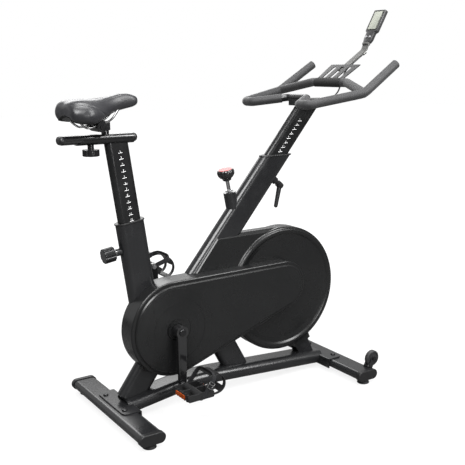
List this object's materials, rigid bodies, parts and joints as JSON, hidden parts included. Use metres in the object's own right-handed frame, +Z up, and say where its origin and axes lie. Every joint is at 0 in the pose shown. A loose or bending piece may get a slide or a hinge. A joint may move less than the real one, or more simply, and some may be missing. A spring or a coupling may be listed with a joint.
{
  "type": "exercise bike",
  "caption": "Indoor exercise bike with an enclosed flywheel, belt cover, sliding seat and handlebar posts, toe-cage pedals, resistance knob, looped handlebar, tray and tilting console.",
  "frame": {"origin": "on the floor, in the bike's middle plane, at the middle of its length", "axes": "+X forwards, towards the handlebar; +Y to the rider's left; +Z up"},
  "size_m": [1.2374, 0.5, 1.2418],
  "materials": {
    "frame_paint": "satin black powder coat",
    "cover_plastic": "fine-grained black moulding",
    "trim_plastic": "plain black moulding",
    "post_paint": "satin black powder coat",
    "foam": "matt black foam",
    "saddle_skin": "black grained vinyl",
    "foot_rubber": "matt black",
    "wheel_rubber": "matt black",
    "plated_steel": "bright plating",
    "turned_steel": "turned and brushed",
    "crank_paint": "gloss black",
    "flywheel_iron": "painted casting with a turned rim",
    "pulley": "glass-filled plastic",
    "belt": "ribbed rubber",
    "felt": "pressed felt",
    "pedal_plastic": "coarse-grained black moulding",
    "amber": "prismatic amber lens",
    "knob_plastic": "black moulding with a red top",
    "console_shell": "dark grey moulding",
    "screen": "pale grey liquid-crystal window",
    "key_rubber": "grey keys",
    "cable_jacket": "smooth jacket"
  },
  "bodies": {
    "frame": {"base_tube": "frame_paint", "end_brackets": "frame_paint", "stabilizers": "frame_paint", "stabilizer_caps": "trim_plastic", "seat_tube": "frame_paint", "main_tube": "frame_paint", "struts": "frame_paint", "flywheel_fork": "frame_paint", "bearings": "turned_steel", "fasteners": "plated_steel", "belt_cover_outer": "cover_plastic", "belt_cover_inner": "cover_plastic", "flywheel_cover_right": "cover_plastic", "flywheel_cover_left": "cover_plastic", "drive_belt": "belt", "post_bushings": "trim_plastic"},
    "rear_right_foot": {"foot_rear_right": "foot_rubber"},
    "rear_left_foot": {"foot_rear_left": "foot_rubber"},
    "front_right_foot": {"foot_front_right": "foot_rubber"},
    "front_left_foot": {"foot_front_left": "foot_rubber"},
    "right_wheel": {"transport_wheel_right": "wheel_rubber"},
    "left_wheel": {"transport_wheel_left": "wheel_rubber"},
    "crank": {"crank_axle": "turned_steel", "crank_pulley": "pulley", "crank_arms": "crank_paint", "pedal_spindles": "turned_steel"},
    "right_pedal": {"pedal_right": "pedal_plastic", "toe_cage_right": "pedal_plastic", "pedal_reflectors_right": "amber"},
    "left_pedal": {"pedal_left": "pedal_plastic", "toe_cage_left": "pedal_plastic", "pedal_reflectors_left": "amber"},
    "flywheel_set": {"flywheel": "flywheel_iron", "flywheel_shaft": "turned_steel"},
    "brake": {"brake_rod": "turned_steel"},
    "load_knob": {"resistance_knob": "knob_plastic"},
    "brake_shoe": {"brake_carrier": "turned_steel", "brake_pad": "felt"},
    "seat_mast": {"seat_post": "post_paint"},
    "pin": {"seat_pin": "plated_steel"},
    "pin_knob": {"seat_knob": "trim_plastic"},
    "saddle_slide": {"seat_slider": "post_paint", "slider_caps": "trim_plastic", "clamp_band": "frame_paint"},
    "slide_knob": {"slider_knob": "trim_plastic"},
    "saddle": {"saddle_clamp": "turned_steel", "saddle_rails": "plated_steel", "saddle_base": "trim_plastic", "saddle_cover": "saddle_skin"},
    "bar_mast": {"bar_post": "post_paint", "handlebar": "turned_steel", "grips": "foam", "tray": "trim_plastic", "console_arm": "frame_paint", "console_cable": "cable_jacket"},
    "lever": {"clamp_lever": "trim_plastic"},
    "console": {"console_body": "console_shell", "console_lens": "screen"},
    "right_button": {"console_button_right": "key_rubber"},
    "left_button": {"console_button_left": "key_rubber"}
  },
  "joints": [
    {"name": "rear_right_foot_turn", "type": "hinge", "parent": "frame", "child": "rear_right_foot", "pos_m": [-0.45571, -0.225, 0], "axis": [0, 0, 1], "continuous": true},
    {"name": "rear_left_foot_turn", "type": "hinge", "parent": "frame", "child": "rear_left_foot", "pos_m": [-0.45571, 0.225, 0], "axis": [0, 0, 1], "continuous": true},
    {"name": "front_right_foot_turn", "type": "hinge", "parent": "frame", "child": "front_right_foot", "pos_m": [0.35829, -0.225, 0], "axis": [0, 0, 1], "continuous": true},
    {"name": "front_left_foot_turn", "type": "hinge", "parent": "frame", "child": "front_left_foot", "pos_m": [0.35829, 0.225, 0], "axis": [0, 0, 1], "continuous": true},
    {"name": "right_wheel_roll", "type": "hinge", "parent": "frame", "child": "right_wheel", "pos_m": [0.40329, -0.216, 0.075], "axis": [0, 1, 0], "continuous": true},
    {"name": "left_wheel_roll", "type": "hinge", "parent": "frame", "child": "left_wheel", "pos_m": [0.40329, 0.216, 0.075], "axis": [0, 1, 0], "continuous": true},
    {"name": "crank_turn", "type": "hinge", "parent": "frame", "child": "crank", "pos_m": [-0.27371, 0, 0.27], "axis": [0, 1, 0], "continuous": true},
    {"name": "flywheel_spin", "type": "hinge", "parent": "frame", "child": "flywheel_set", "pos_m": [0.16329, 0, 0.317], "axis": [0, 1, 0], "continuous": true},
    {"name": "right_pedal_turn", "type": "hinge", "parent": "crank", "child": "right_pedal", "pos_m": [-0.27371, -0.165, 0.102], "axis": [0, 1, 0], "continuous": true},
    {"name": "left_pedal_turn", "type": "hinge", "parent": "crank", "child": "left_pedal", "pos_m": [-0.27371, 0.135, 0.438], "axis": [0, 1, 0], "continuous": true},
    {"name": "brake_push", "type": "slide", "parent": "frame", "child": "brake", "axis": [0.1994, 0, -0.9799], "range_m": [0, 0.003], "stiffness_N_per_m": 3000, "springref_m": -0.006},
    {"name": "load_turn", "type": "hinge", "parent": "brake", "child": "load_knob", "pos_m": [-0.01318, 0, 0.57228], "axis": [-0.1994, 0, 0.9799], "range_deg": [0, 720]},
    {"name": "shoe_feed", "type": "slide", "parent": "brake", "child": "brake_shoe", "axis": [0.1994, 0, -0.9799], "range_m": [0, 0.00251]},
    {"name": "saddle_height", "type": "slide", "parent": "frame", "child": "seat_mast", "axis": [-0.1409, 0, 0.99], "range_m": [-0.16, 0.02]},
    {"name": "pin_pull", "type": "slide", "parent": "frame", "child": "pin", "axis": [-0.99, 0, -0.1409], "range_m": [0, 0.008], "stiffness_N_per_m": 1500, "springref_m": -0.006},
    {"name": "pin_knob_turn", "type": "hinge", "parent": "pin", "child": "pin_knob", "pos_m": [-0.37394, 0, 0.52651], "axis": [-0.99, 0, -0.1409], "range_deg": [-360, 360]},
    {"name": "saddle_fore_aft", "type": "slide", "parent": "seat_mast", "child": "saddle_slide", "axis": [1, 0, 0], "range_m": [-0.04, 0.04]},
    {"name": "slide_knob_turn", "type": "hinge", "parent": "seat_mast", "child": "slide_knob", "pos_m": [-0.49671, 0, 0.815], "axis": [0, 0, 1], "range_deg": [-360, 360]},
    {"name": "saddle_tilt", "type": "hinge", "parent": "saddle_slide", "child": "saddle", "pos_m": [-0.47271, 0, 0.891], "axis": [0, 1, 0], "range_deg": [-10, 10]},
    {"name": "handlebar_height", "type": "slide", "parent": "frame", "child": "bar_mast", "axis": [0.6396, 0, 0.7687], "range_m": [-0.09, 0.018]},
    {"name": "lever_turn", "type": "hinge", "parent": "frame", "child": "lever", "pos_m": [0.10757, 0, 0.71742], "axis": [0.7687, 0, -0.6396], "range_deg": [-360, 0]},
    {"name": "console_tilt", "type": "hinge", "parent": "bar_mast", "child": "console", "pos_m": [0.53929, 0, 1.126], "axis": [0, 1, 0], "range_deg": [-20, 20]},
    {"name": "right_button_press", "type": "slide", "parent": "console", "child": "right_button", "axis": [0.866, 0, -0.5], "range_m": [0, 0.001], "stiffness_N_per_m": 300, "springref_m": -0.001},
    {"name": "left_button_press", "type": "slide", "parent": "console", "child": "left_button", "axis": [0.866, 0, -0.5], "range_m": [0, 0.001], "stiffness_N_per_m": 300, "springref_m": -0.001}
  ],
  "couplings": [
    {"joint": "flywheel_spin", "follows": "crank_turn", "ratio": 4},
    {"joint": "shoe_feed", "follows": "load_turn", "m_per_rad": 0.00019894}
  ]
}
